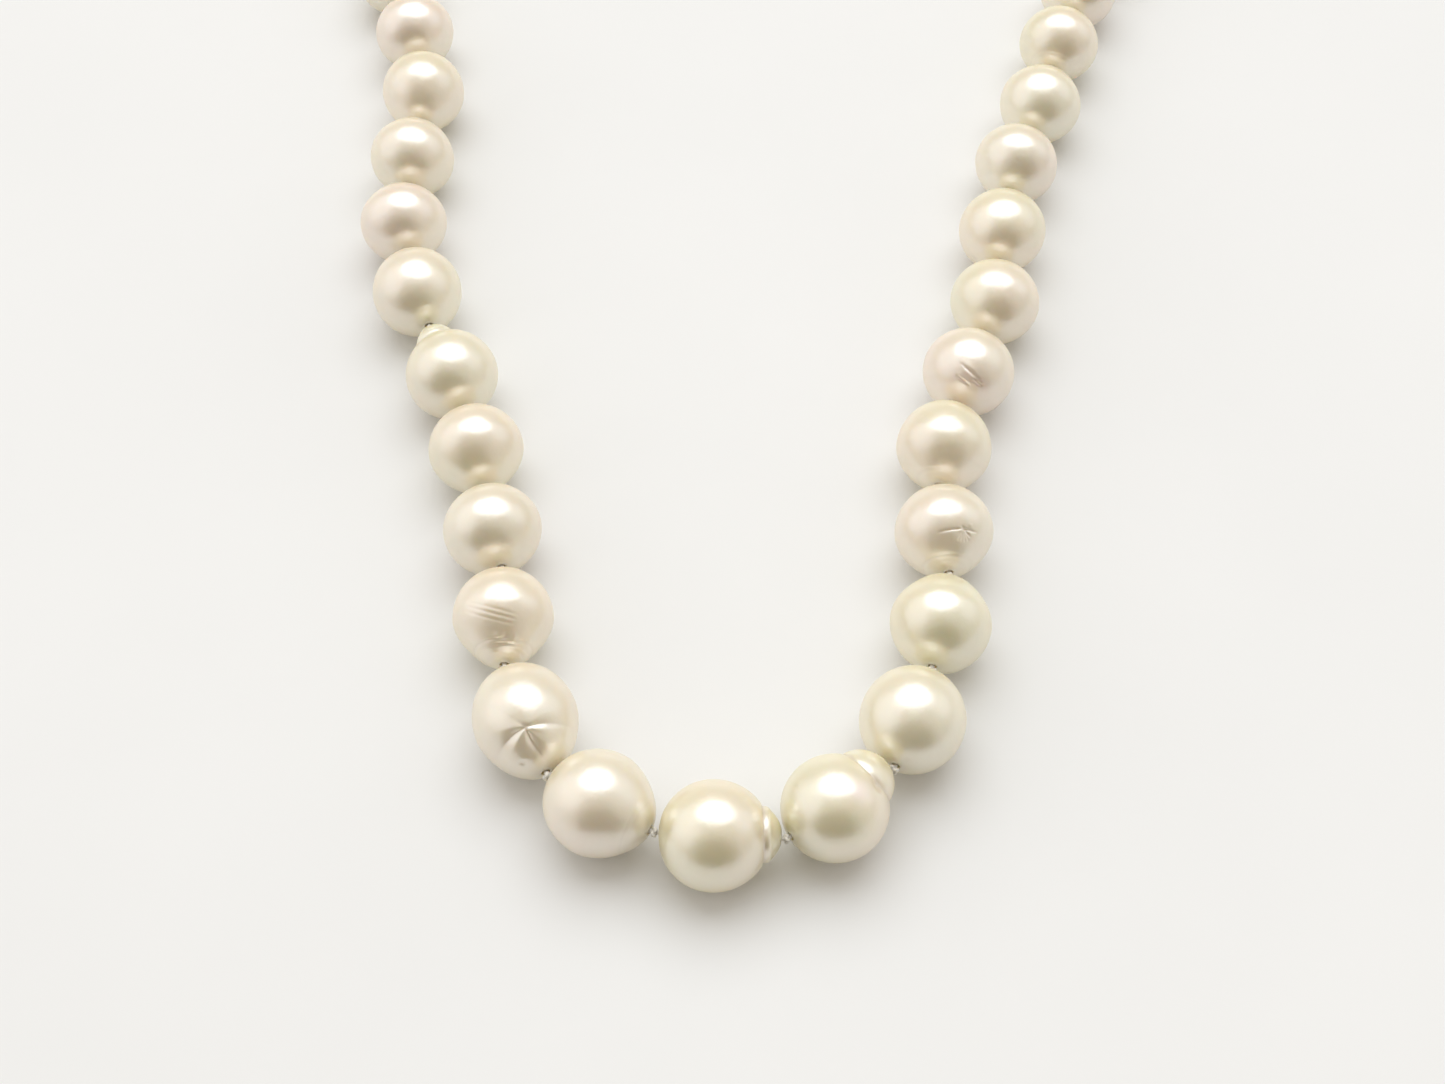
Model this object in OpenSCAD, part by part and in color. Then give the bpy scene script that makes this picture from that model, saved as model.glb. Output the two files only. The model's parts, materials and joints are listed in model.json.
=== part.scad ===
// Knotted strand of graduated baroque pearls with a box clasp, laid open in a U on a flat surface.
// Millimetres, +Z up. The origin is the point where the centre pearl touches that surface.
// The two arms run from the centre pearl towards +Y; the left arm is on the -X side.

/* [Strand] */
// Pearls on each side of the centre pearl
side_count = 24; // [6:1:24]
// Width of the centre pearl
centre_d = 8; // [7:0.1:10]
// Width of the last pearl of each arm
end_d = 5.8; // [5:0.1:7.5]
// Gap between neighbouring pearls, which the knot fills
knot_gap = 0.6; // [0.5:0.05:1]
// Turn of the centre pearl's drill axis from the X direction, in degrees
centre_turn = -3; // [-10:1:10]

/* [Pearl] */
// Diameter of the hole drilled through each pearl
bore_d = 0.7; // [0.6:0.05:0.9]
// Length of the centre pearl's tail, beyond its round body
centre_tail_l = 0.9; // [0.5:0.1:1.5]
// Width of the centre pearl's tail
centre_tail_d = 4; // [3:0.1:5]

/* [Silk] */
// Diameter of the doubled silk thread
thread_d = 0.4; // [0.3:0.05:0.5]
// Width of a knot across the strand
knot_w = 0.88; // [0.8:0.02:1]
// Length of a knot along the strand
knot_l = 0.4; // [0.3:0.02:0.45]

/* [End loops] */
// Radius of the wire-covered loop's centre line
loop_r = 1.2; // [1.15:0.05:1.6]
// Outer diameter of the coiled wire that covers the loop
gimp_d = 0.8; // [0.7:0.05:0.9]
// Inner diameter of the coiled wire
gimp_bore_d = 0.5; // [0.45:0.01:0.56]
// Half of the arc that the coiled wire covers, in degrees
gimp_arc = 140; // [120:5:145]

/* [Clasp] */
// Length of the clasp box
clasp_l = 10; // [9.5:0.1:14]
// Width of the clasp box
clasp_w = 7.4; // [6.8:0.1:10]
// Height of the clasp box with its lid
clasp_h = 5; // [4.8:0.1:6.5]
// Wall thickness of the clasp box
clasp_wall = 0.6; // [0.4:0.05:0.8]
// Thickness of the decorated lid
lid_t = 0.6; // [0.4:0.05:0.7]
// Corner radius of the clasp box
corner_r = 1.6; // [1:0.1:2]
// Radius of the centre line of each clasp ring
ring_r = 1.2; // [1.1:0.05:1.4]
// Diameter of the wire of each clasp ring
ring_wire_d = 0.6; // [0.5:0.05:0.7]

/* [Tongue] */
// Width of the tongue
tongue_w = 5; // [4:0.1:5.4]
// Length of the spring leaf from its fold to its free end
leaf_l = 7; // [5.8:0.1:7.4]
// Thickness of the lower blade
blade_t = 0.4; // [0.3:0.05:0.5]
// Thickness of the spring leaf
leaf_t = 0.3; // [0.2:0.02:0.36]
// Angle between the leaf and the blade when nothing presses the leaf
leaf_open = 9; // [8:0.5:10]
// Thickness of the plate that closes the box
end_plate_t = 0.8; // [0.6:0.1:1.2]
// Width of the thumb tab
tab_w = 1.4; // [1:0.1:2]
// Thickness of the thumb tab
tab_t = 0.5; // [0.4:0.05:0.6]
// Height of the thumb tab above the leaf
tab_h = 2.3; // [2.1:0.1:3]
// Clearance between the pieces that slide or turn in each other
clearance = 0.1; // [0.08:0.01:0.14]

/* [Hidden] */
$fn = 72;
ARMS = ["left", "right"];
LEFT = 0;
RIGHT = 1;
// Bend of the strand at each knot, counted out from the centre pearl, in whole degrees.
// A positive bend closes the loop.
BENDS = [
    [27, 38, 18, -10, 2, -12, 5, 13, 16, -14, -12, -4, 6, 3, -2, 5, 7, 2, 4, -3, 6, 4, 2, -3],
    [38, 34, 9, 15, -12, -18, 14, 9, -18, 3, 4, -8, 5, 2, 6, 4, -3, 5, 6, 2, -2, 4, 3, 4]
];
// How much longer than wide each pearl is along its drill hole
STRETCH = [
    [0.5, 1.2, 0.3, -0.6, -0.3, 0, 0.2, -0.5, -0.4, 0.3, -0.4, 0,
     0.2, -0.2, 0.3, 0, -0.3, 0.2, 0.1, -0.2, 0.2, 0, -0.1, 0.1],
    [0, 0.4, 0.1, -0.2, 0, -0.4, -0.2, 0.1, -0.4, 0.1, -0.4, -0.3,
     0.1, 0.3, -0.2, 0, 0.2, -0.3, 0.1, 0, 0.3, -0.1, 0.2, 0]
];
// Arm, pearl number, tail length and tail width of the other pearls that grew a tail
TAILS = [[RIGHT, 1, 1.1, 4.4], [LEFT, 6, 1, 2.8]];

pearl_name = function (arm, i)
    i == 0 ? "pearl_centre" : str("pearl_", ARMS[arm], "_", i < 10 ? "0" : "", i);
CLASP_NODES = ["clasp_box", "clasp_lid", "clasp_tongue", "tongue_spring_leaf",
               "gimp_loop_left", "gimp_loop_right"];

// The strand, link by link. A link is one pearl and half a gap at each end of it.
function pearl_d(i) = centre_d + (end_d - centre_d) * i / side_count;
function tail_of(arm, i) =
    let (found = [for (t = TAILS) if (t[0] == arm && t[1] == i) [t[2], t[3]]])
    len(found) > 0 ? found[0] : [0, 0];
function pearl_l(arm, i) = pearl_d(i) + STRETCH[arm][i - 1] + tail_of(arm, i)[0];
function sum_to(list, n) = n == 0 ? 0 : list[n - 1] + sum_to(list, n - 1);
function heading(arm, i) =
    arm == RIGHT ? centre_turn + sum_to(BENDS[arm], i)
                 : 180 + centre_turn - sum_to(BENDS[arm], i);
function along(angle, l) = [cos(angle) * l, sin(angle) * l, 0];
function centre_reach(arm) = (centre_d + knot_gap) / 2 + (arm == RIGHT ? centre_tail_l : 0);
// Place of the knot outside pearl i, seen from above
function knot_at(arm, i) =
    i == 0 ? along(heading(arm, 0), centre_reach(arm))
           : knot_at(arm, i - 1) + along(heading(arm, i), pearl_l(arm, i) + knot_gap);
// Centre of the pearl's round body; a tail is always on its outer side
function pearl_at(arm, i) =
    knot_at(arm, i - 1)
    + along(heading(arm, i), (pearl_l(arm, i) - tail_of(arm, i)[0] + knot_gap) / 2)
    + [0, 0, pearl_d(i) / 2];
function strand_z(i) = i > side_count ? loop_z : pearl_d(i) / 2;
function knot_z(i) = (strand_z(i) + strand_z(i + 1)) / 2;

// How far a cut reaches past what it cuts, in millimetres or degrees
over = 1;
// How far the bare thread shows at each end of the coiled wire, in degrees
BARE_ARC = 10;

// The loop and the clasp, from the last knot outwards
loop_z = clasp_h / 2;
loop_x = knot_l / 2 + clearance + gimp_d / 2 + loop_r;
ring_pivot_x = loop_x + loop_r - gimp_d / 2 - clearance - ring_wire_d / 2;
ring_x = ring_pivot_x + ring_r;
// How deep a ring's wire is let into its half of the clasp
ring_bite = ring_wire_d * 2 / 3;
clasp_x = ring_x + ring_r + ring_wire_d / 2 - ring_bite;
plate_end_x = clasp_x + end_plate_t;
box_end_x = clasp_x + clasp_l;
box_h = clasp_h - lid_t;

// The tongue: its fold is a rolled edge around the leaf's barrel
barrel_r = leaf_t / 2 + clearance;
fold_bore_r = barrel_r + clearance / 2;
fold_r = fold_bore_r + blade_t;
// Play between the leaf's free end and the wall that it snaps behind
leaf_play = 1.5 * clearance;
fold_x = plate_end_x + clasp_wall + leaf_play + leaf_l;
fold_z = loop_z - clearance;
blade_z = fold_z - fold_r;
slot_z = blade_z - clearance;
slot_h = 2 * (fold_r + clearance);
// Play on each side of the tongue and of the tab
side_play = 2 * clearance;
slot_w = tongue_w + 2 * side_play;
notch_w = tab_w + 2 * side_play;
// Room for the tab to tip into when the leaf is pressed
tab_travel = 9 * clearance;
notch_l = clasp_wall + tab_t + tab_travel;

// Outline of a pearl, with its drill axis along Y. A tail is on the +Y side.
module pearl_outline(d, stretch, tail_l, tail_d) {
    if (stretch > 0) {
        for (side = [-1, 1]) translate([0, side * stretch / 2]) circle(d = d);
        square([d, stretch], center = true);
    } else if (stretch < 0) {
        translate([-stretch / 2, 0]) circle(d = d + stretch);
        square([-stretch, d + stretch], center = true);
    } else {
        circle(d = d);
    }
    if (tail_l > 0) translate([0, (d + stretch - tail_d) / 2 + tail_l]) circle(d = tail_d);
}

// A pearl drilled through along X, centred on its round body
module drilled_pearl(d, stretch, tail_l, tail_d) {
    reach = d + abs(stretch) + tail_l;
    rotate([0, 90, 0]) rotate_extrude() difference() {
        pearl_outline(d, stretch, tail_l, tail_d);
        translate([-d, -reach]) square([d + bore_d / 2, 2 * reach]);
    }
}

module pearl_centre() {
    color("ivory") translate([0, 0, centre_d / 2]) rotate([0, 0, centre_turn])
        drilled_pearl(centre_d, 0, centre_tail_l, centre_tail_d);
}

module arm_pearl(arm, i) {
    tail = tail_of(arm, i);
    color(i % 3 == 0 ? "ivory" : i % 3 == 1 ? "seashell" : "oldlace")
        translate(pearl_at(arm, i)) rotate([0, 0, heading(arm, i)])
            drilled_pearl(pearl_d(i), STRETCH[arm][i - 1], tail[0], tail[1]);
}

// A straight piece of thread along X
module thread(l) {
    rotate([0, 90, 0]) cylinder(d = thread_d, h = l);
}

module knot() {
    round_r = knot_l / 2;
    rotate([0, 90, 0]) rotate_extrude() {
        translate([knot_w / 2 - round_r, 0]) circle(r = round_r);
        translate([0, -round_r]) square([knot_w / 2 - round_r, knot_l]);
    }
}

// Puts its children at the last knot of an arm, with X along the strand and Z = 0 on the surface
module at_arm_end(arm) {
    translate(knot_at(arm, side_count)) rotate([0, 0, heading(arm, side_count)]) children();
}

module loop_arc(d, half_arc) {
    rotate([0, 0, -half_arc]) rotate_extrude(angle = 2 * half_arc)
        translate([loop_r, 0]) circle(d = d);
}

// The thread's loop beyond the last knot, which holds the clasp ring
module thread_loop() {
    half_arc = gimp_arc + BARE_ARC;
    end = [loop_x + loop_r * cos(half_arc), loop_r * sin(half_arc)];
    translate([loop_x, 0, loop_z]) loop_arc(thread_d, half_arc);
    for (side = [-1, 1]) {
        translate([end[0], side * end[1], loop_z]) sphere(d = thread_d);
        translate([0, 0, loop_z]) rotate([0, 0, side * atan2(end[1], end[0])]) thread(norm(end));
    }
    translate([0, 0, min(loop_z, end_d / 2)]) cylinder(d = thread_d, h = abs(end_d / 2 - loop_z));
}

module silk_thread() {
    color("white") {
        translate(knot_at(LEFT, 0) + [0, 0, centre_d / 2]) rotate([0, 0, centre_turn])
            thread(centre_reach(LEFT) + centre_reach(RIGHT));
        for (arm = [LEFT, RIGHT]) {
            for (i = [1:side_count]) {
                translate(knot_at(arm, i - 1) + [0, 0, pearl_d(i) / 2])
                    rotate([0, 0, heading(arm, i)]) thread(pearl_l(arm, i) + knot_gap);
            }
            for (i = [0:side_count]) {
                bend = i < side_count ? heading(arm, i + 1) - heading(arm, i) : 0;
                translate(knot_at(arm, i) + [0, 0, knot_z(i)])
                    rotate([0, 0, heading(arm, i) + bend / 2]) knot();
            }
            at_arm_end(arm) thread_loop();
        }
    }
}

module gimp_loop(arm) {
    color("silver") at_arm_end(arm) translate([loop_x, 0, loop_z]) difference() {
        loop_arc(gimp_d, gimp_arc);
        loop_arc(gimp_bore_d, gimp_arc + over);
    }
}

module clasp_ring() {
    translate([ring_x, 0, loop_z]) rotate([90, 0, 0]) rotate_extrude() translate([ring_r, 0])
        circle(d = ring_wire_d);
}

// A slab with round corners that starts at X = 0 and is centred on Y
module rounded_slab(l, w, h, r) {
    linear_extrude(h) {
        translate([r, -w / 2]) square([l - 2 * r, w]);
        translate([0, r - w / 2]) square([l, w - 2 * r]);
        for (x = [r, l - r], y = [r - w / 2, w / 2 - r]) translate([x, y]) circle(r = r);
    }
}

module clasp_box() {
    inner_r = corner_r - clasp_wall;
    color("silver") at_arm_end(LEFT) {
        clasp_ring();
        difference() {
            translate([clasp_x, 0, 0]) rounded_slab(clasp_l, clasp_w, box_h, corner_r);
            translate([clasp_x + clasp_wall, 0, clasp_wall])
                rounded_slab(clasp_l - 2 * clasp_wall, clasp_w - 2 * clasp_wall, box_h, inner_r);
            translate([box_end_x - clasp_wall - over, -slot_w / 2, slot_z])
                cube([clasp_wall + 2 * over, slot_w, slot_h]);
            translate([box_end_x - clasp_wall - over, -notch_w / 2, slot_z])
                cube([clasp_wall + 2 * over, notch_w, box_h]);
        }
    }
}

module clasp_lid() {
    color("gainsboro") at_arm_end(LEFT) translate([clasp_x, 0, box_h]) difference() {
        rounded_slab(clasp_l, clasp_w, lid_t, corner_r);
        translate([clasp_l - notch_l, -notch_w / 2, -over])
            cube([notch_l + over, notch_w, lid_t + 2 * over]);
    }
}

module clasp_tongue() {
    color("silver") at_arm_end(RIGHT) {
        clasp_ring();
        translate([clasp_x, -clasp_w / 2, 0]) cube([end_plate_t, clasp_w, clasp_h]);
        translate([clasp_x, -tongue_w / 2, blade_z]) cube([fold_x - clasp_x, tongue_w, blade_t]);
        translate([fold_x, tongue_w / 2, fold_z]) rotate([90, 0, 0]) difference() {
            cylinder(r = fold_r, h = tongue_w);
            translate([0, 0, -over]) cylinder(r = fold_bore_r, h = tongue_w + 2 * over);
            translate([-2 * fold_r, -fold_r - over, -over])
                cube([2 * fold_r, 2 * (fold_r + over), tongue_w + 2 * over]);
        }
    }
}

module tongue_spring_leaf() {
    color("gainsboro") at_arm_end(RIGHT) translate([fold_x, 0, fold_z]) rotate([0, leaf_open, 0]) {
        rotate([90, 0, 0]) cylinder(r = barrel_r, h = tongue_w, center = true);
        translate([-leaf_l, -tongue_w / 2, -leaf_t / 2]) cube([leaf_l, tongue_w, leaf_t]);
        translate([-leaf_l, -tab_w / 2, -leaf_t / 2]) cube([tab_t, tab_w, tab_h + leaf_t]);
    }
}

clasp_box();
clasp_lid();
clasp_tongue();
tongue_spring_leaf();
gimp_loop(LEFT);  // gimp_loop_left
gimp_loop(RIGHT);  // gimp_loop_right
silk_thread();
pearl_centre();
for (arm = [LEFT, RIGHT], i = [1:side_count])
    arm_pearl(arm, i);
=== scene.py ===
"""Looks of a knotted strand of baroque pearls: nacre, silk knots, coiled wire and a silver box clasp.

Everything is in metres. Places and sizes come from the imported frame: each pearl is drilled from one
knot to the next, and the knots are where the joints are.
"""
import json
import math

import bmesh
import bpy
import numpy as np
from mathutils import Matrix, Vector


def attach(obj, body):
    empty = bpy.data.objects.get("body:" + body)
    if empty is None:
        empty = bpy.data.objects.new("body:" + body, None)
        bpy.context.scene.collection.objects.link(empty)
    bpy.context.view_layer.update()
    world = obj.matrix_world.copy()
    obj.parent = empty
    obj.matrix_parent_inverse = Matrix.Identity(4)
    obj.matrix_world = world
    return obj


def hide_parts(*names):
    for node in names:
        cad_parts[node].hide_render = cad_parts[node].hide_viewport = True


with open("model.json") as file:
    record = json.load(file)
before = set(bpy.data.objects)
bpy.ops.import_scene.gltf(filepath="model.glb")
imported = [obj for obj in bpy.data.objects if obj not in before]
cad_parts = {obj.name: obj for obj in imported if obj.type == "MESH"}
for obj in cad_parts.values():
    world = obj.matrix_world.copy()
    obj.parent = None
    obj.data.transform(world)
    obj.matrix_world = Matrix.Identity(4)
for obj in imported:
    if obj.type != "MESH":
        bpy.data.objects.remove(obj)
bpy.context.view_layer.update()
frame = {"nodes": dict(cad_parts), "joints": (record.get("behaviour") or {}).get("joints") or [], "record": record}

MM = 0.001
UP = np.array([0.0, 0.0, 1.0])
ARMS = ("left", "right")
NODES = frame["nodes"]
JOINT_AT = {j["child"]: np.array(j["pos_m"]) for j in frame["joints"]}
SLOT_OF = {part["node"]: part["material_slot"] for part in frame["record"]["subparts"]}
COUNT = sum(name.startswith("pearl_left_") for name in NODES)


# ---------------------------------------------------------------- camera

SENSOR_W = 36.0
LENS = 56.06
TILT = math.radians(32)
CAMERA_AT = (0.0006, -0.0674, 0.1514)

camera_data = bpy.data.cameras.new("camera")
camera_data.lens = LENS
camera_data.sensor_width = SENSOR_W
camera_data.clip_start = 0.005
camera = bpy.data.objects.new("camera", camera_data)
camera.location = CAMERA_AT
camera.rotation_euler = (TILT, 0, 0)
bpy.context.scene.collection.objects.link(camera)
bpy.context.scene.camera = camera

# The picture's own directions, used only to say on which side of a pearl a mark is
SCREEN_RIGHT = np.array([1.0, 0.0, 0.0])
SCREEN_UP = np.array([0.0, math.cos(TILT), math.sin(TILT)])
SCREEN_BACK = np.array([0.0, -math.sin(TILT), math.cos(TILT)])


def facing(right, up):
    """The direction from a pearl's centre to the mark that shows at (right, up), in its radii."""
    return right * SCREEN_RIGHT + up * SCREEN_UP + math.sqrt(1 - right**2 - up**2) * SCREEN_BACK


# ---------------------------------------------------------------- mesh helpers

def new_object(name, vertices, faces):
    mesh = bpy.data.meshes.new(name)
    mesh.from_pydata([tuple(v) for v in vertices], [], faces)
    mesh.validate()
    mesh.polygons.foreach_set("use_smooth", [True] * len(mesh.polygons))
    mesh.update()
    piece = bpy.data.objects.new(name, mesh)
    bpy.context.scene.collection.objects.link(piece)
    return piece


def ring_faces(rings, segments, closed_u=False):
    """Quads that join rings of points, with each ring closed on itself."""
    faces = []
    last = rings if closed_u else rings - 1
    for i in range(last):
        a = i * segments
        b = (i + 1) % rings * segments
        for j in range(segments):
            k = (j + 1) % segments
            faces.append((a + j, a + k, b + k, b + j))
    return faces


def set_floats(piece, name, values):
    attribute = piece.data.attributes.new(name, "FLOAT", "POINT")
    attribute.data.foreach_set("value", np.asarray(values, np.float32))


def cad_points(node):
    mesh = NODES[node].data
    co = np.empty(len(mesh.vertices) * 3)
    mesh.vertices.foreach_get("co", co)
    return co.reshape(-1, 3)


def unit(v):
    return v / np.linalg.norm(v)


# ---------------------------------------------------------------- the strand, read from the frame

class Drilled:
    """A pearl's place: its drill axis, from the inner knot to the outer one, and its sizes."""

    def __init__(self, node, inner, outer):
        points = cad_points(node)
        self.node = node
        self.half_w = points[:, 2].max() / 2
        flat = (outer - inner) * np.array([1, 1, 0])
        self.length = np.linalg.norm(flat)
        self.axis = flat / self.length
        self.start = np.array([inner[0], inner[1], self.half_w])
        along = (points - self.start) @ self.axis
        top = along[points[:, 2] > 2 * self.half_w - 1e-6]
        middle = (top.min() + top.max()) / 2
        self.centre = self.start + middle * self.axis
        self.inner_l = middle - along.min()
        self.outer_l = along.max() - middle
        self.turn = np.array([self.axis, np.cross(UP, self.axis), UP])


def knot_outside(arm, i):
    return JOINT_AT[f"pearl_{arm}_{i + 1:02d}"] if i < COUNT else JOINT_AT[f"loop_{arm}"]


STRAND = {"pearl_centre": Drilled("pearl_centre", knot_outside("left", 0), knot_outside("right", 0))}
for arm in ARMS:
    for i in range(1, COUNT + 1):
        name = f"pearl_{arm}_{i:02d}"
        STRAND[name] = Drilled(name, knot_outside(arm, i - 1), knot_outside(arm, i))


# ---------------------------------------------------------------- pearls

BORE_R = 0.35 * MM
MOUTH_CHAMFER = 0.06 * MM
FINE = (150, 200)
PLAIN = (84, 112)
WAVES = 7
UNEVENNESS = 0.010
# Brings a taper's deepest place, at two thirds of the way to the end, to a depth of 1
TAPER_PEAK = 6.75
FIRST_PEARL_SEED = 100
PEARL_SEED_STEP = 17
FIRST_SILK_SEED = 900


class Skin:
    """A pearl's surface while it is shaped: a distance from its centre in every direction."""

    def __init__(self, pearl, grid):
        self.rings, self.segments = grid
        self.pearl = pearl
        mouth = math.asin(BORE_R / pearl.inner_l)
        theta = np.linspace(mouth, math.pi - mouth, self.rings)
        phi = np.arange(self.segments) * math.tau / self.segments
        t, p = np.meshgrid(theta, phi, indexing="ij")
        self.n = np.stack([np.cos(t), np.sin(t) * np.cos(p), np.sin(t) * np.sin(p)], -1).reshape(-1, 3)
        self.world = self.n @ pearl.turn
        self.quiet = 1 - np.abs(self.n[:, 0]) ** 12
        half_l = np.where(self.n[:, 0] > 0, pearl.outer_l, pearl.inner_l)
        self.set_body(half_l)
        self.tone = np.zeros(len(self.n))
        # Painted shade: how far the colour is darkened in each hollow, groove and fold
        self.hollow_shade = np.zeros(len(self.n))

    def set_body(self, half_l):
        x = self.n[:, 0]
        self.r = 1 / np.sqrt((x / half_l) ** 2 + (1 - x * x) / self.pearl.half_w**2)

    def swell(self, amount):
        self.r = self.r * (1 + amount * self.quiet)

    def around(self, centre):
        """Tangent coordinates about a direction, in radii: across to the right, up, and how near."""
        c = unit(centre)
        up = unit(SCREEN_UP - (SCREEN_UP @ c) * c)
        right = unit(np.cross(up, c))
        near = np.clip(self.world @ c, -1, 1)
        return self.world @ right, self.world @ up, np.where(near > 0, near, 0)


def bell(x, width):
    return np.exp(-((x / width) ** 2))


def baroque(skin, seed, amount):
    """Low swells that no two pearls share, and a little finer unevenness."""
    rng = np.random.RandomState(seed)
    for low, high, share in ((1.2, 2.6, 1.0), (3.5, 6.0, 0.22)):
        total = np.zeros(len(skin.n))
        for _ in range(WAVES):
            way = unit(rng.normal(size=3)) * rng.uniform(low, high)
            total += np.sin(skin.world @ way + rng.uniform(0, math.tau))
        skin.swell(amount * share * total / math.sqrt(WAVES))
    way = unit(rng.normal(size=3)) * 1.6
    skin.tone += 0.5 * np.sin(skin.world @ way + rng.uniform(0, math.tau))


def taper(skin, side, amount):
    """Flattens the flanks at one end of the drill axis: +1 is the outer end."""
    u = np.clip(side * skin.n[:, 0], 0, 1)
    skin.swell(-amount * u**2 * (1 - u) * TAPER_PEAK)


def growth_rings(skin, side, places, depth, width=0.018):
    """Fine grooves that run round the drill axis near one end."""
    u = side * skin.n[:, 0]
    lean = 0.02 * skin.n[:, 1]
    for k, place in enumerate(places):
        fade = 0.65 + 0.35 * np.sin(2 * np.arctan2(skin.n[:, 1], skin.n[:, 2]) + 1.7 * k)
        groove = bell(u + lean - place, width)
        skin.swell(-depth * groove * fade)
        # Painted shade in the groove
        skin.hollow_shade += 0.25 * groove * fade


def tail(skin, radius, body_l, down=0.0, up=0.0, groove=0.05 * MM, lip=0.0):
    """A second, smaller growth on the outer end, with a sharp groove where it meets the body.
    It leans away from the camera by down, and towards the picture's top by up."""
    skin.set_body(np.where(skin.n[:, 0] > 0, body_l, skin.pearl.inner_l))
    lean = skin.pearl.turn @ (up * SCREEN_UP - down * SCREEN_BACK)
    centre = np.array([skin.pearl.outer_l - radius, lean[1], lean[2]])
    b = skin.n @ centre
    under = b * b - (centre @ centre - radius**2)
    far = np.where((under > 0) & (b > 0), b + np.sqrt(np.maximum(under, 0)), 0)
    step = far - skin.r
    edge = bell(step, 0.09 * MM) * (far > 0)
    grown = np.clip(step / (0.3 * MM), 0, 1)
    skin.r = np.maximum(skin.r, far) - groove * edge + lip * bell(step - 0.2 * MM, 0.13 * MM)
    # Painted shade in the groove where the tail meets the body
    skin.hollow_shade += 0.4 * edge
    skin.tone -= 0.3 * grown


def crease(skin, centre, angle, start, length, depth, width, bend=0.0):
    """A straight or bent fold: it starts off the centre and runs out at an angle in the picture."""
    right, up, near = skin.around(centre)
    a = math.radians(angle)
    along = right * math.cos(a) + up * math.sin(a)
    across = -right * math.sin(a) + up * math.cos(a) - bend * along**2
    s = (along - start) / length
    run = np.where((s > 0) & (s < 1), np.sin(math.pi * np.clip(s, 0, 1)) ** 0.6, 0) * (near > 0)
    fold = bell(across, width) * run
    skin.swell(-depth * fold)
    # Painted shade along the fold
    skin.hollow_shade += np.clip(depth * 14, 0, 0.5) * fold


def dent(skin, centre, right, up, size, depth, squeeze=1.0, angle=0.0):
    """A hollow, or with a negative depth a bump, at a place in the picture."""
    x, y, near = skin.around(centre)
    a = math.radians(angle)
    dx = (x - right) * math.cos(a) + (y - up) * math.sin(a)
    dy = -(x - right) * math.sin(a) + (y - up) * math.cos(a)
    hollow = bell(np.hypot(dx, dy * squeeze), size) * (near > 0)
    skin.swell(-depth * hollow)
    # Painted shade in a hollow; a bump gets none
    skin.hollow_shade += np.clip(depth * 8, 0, 0.5) * hollow


def star(skin, centre, folds, depth, size):
    """Folds that run out from one point and widen as they go. Each has an angle, a share of the
    depth, a half-width in radians and a curl."""
    right, up, near = skin.around(centre)
    far = np.hypot(right, up)
    rise = far / size * np.exp(1 - far / size) * (near > 0)
    for angle, share, spread, curl in folds:
        heading = np.arctan2(up, right) - math.radians(angle) - curl * far
        off = np.abs((heading + math.pi) % math.tau - math.pi)
        fold = rise * np.clip(1 - off / spread, 0, 1) ** 1.4
        skin.swell(-depth * share * fold)
        # Painted shade along the middle of each fold
        skin.hollow_shade += 0.3 * max(share, 0) * fold * np.clip(1 - off / 0.15, 0, 1)


def star_wrinkles(skin):
    """Folds that run out from one point, on the second pearl of the left arm."""
    centre = facing(0.09, -0.03)
    star(skin, centre, ((206, 1.0, 0.55, 0.5), (232, -0.35, 0.4, 0.3), (20, 0.8, 0.5, -0.5),
                        (-4, -0.3, 0.3, 0.0), (-74, 1.1, 0.5, 0.4), (142, 0.35, 0.9, 0.2)), 0.055, 0.27)
    dent(skin, centre, 0, 0, 0.07, 0.018)
    dent(skin, centre, 0.03, -0.05, 0.04, -0.014)
    dent(skin, centre, 0.22, -0.72, 0.10, 0.022, 1.5, 60)
    dent(skin, centre, -0.06, -0.63, 0.06, 0.022, 1.8, 10)
    dent(skin, centre, -0.03, -0.54, 0.06, -0.012, 1.8, 10)
    skin.tone += 0.6 * bell(np.hypot(*skin.around(facing(0.15, -0.4))[:2]), 0.45)


def slanted_ridges(skin):
    """Three shallow ridges and a blister, on the third pearl of the left arm."""
    centre = facing(-0.1, 0.12)
    for place, depth in ((0.10, 0.007), (0.0, 0.010), (-0.11, 0.007)):
        crease(skin, facing(-0.1 + 0.3 * place, 0.14 + place), -14, -0.62, 1.1, depth, 0.028, 0.05)
    dent(skin, centre, 0.05, -0.42, 0.06, -0.014)
    dent(skin, centre, 0.22, -0.44, 0.10, 0.02, 1.4, 60)
    dent(skin, centre, 0.40, -0.46, 0.07, -0.008, 2.0, 60)


def ragged_pit(skin):
    """A torn-looking hollow with small folds, on the fourth pearl of the right arm."""
    centre = facing(0.34, 0.06)
    dent(skin, centre, 0, 0, 0.20, 0.020, 1.5, 8)
    crease(skin, centre, 176, -0.22, 0.75, 0.02, 0.022, 0.35)
    crease(skin, centre, -50, -0.1, 0.34, 0.026, 0.025)
    crease(skin, centre, -18, 0.02, 0.3, 0.02, 0.02, 0.4)
    for k in range(4):
        crease(skin, centre, -68 - 17 * k, 0.06, 0.22, 0.016, 0.018)
    dent(skin, centre, -0.06, -0.01, 0.06, -0.02, 1.6, 20)
    dent(skin, centre, 0.14, 0.08, 0.03, -0.014)


def slanted_wrinkles(skin):
    """Short parallel folds, on the sixth pearl of the right arm."""
    folds = ((-0.12, 0.0, 0.42), (-0.02, -0.12, 0.5), (-0.22, -0.26, 0.4), (0.1, -0.3, 0.3))
    for right, up, length in folds:
        centre = facing(right, up)
        crease(skin, centre, -38, -length / 2, length, 0.026, 0.035)
        crease(skin, centre, -38, -length / 2, length, -0.012, 0.10)
    dent(skin, facing(-0.1, -0.3), 0, 0, 0.12, -0.014, 1.3, 40)
    skin.tone += 0.5 * bell(np.hypot(*skin.around(facing(0, -0.4))[:2]), 0.4)


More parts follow.
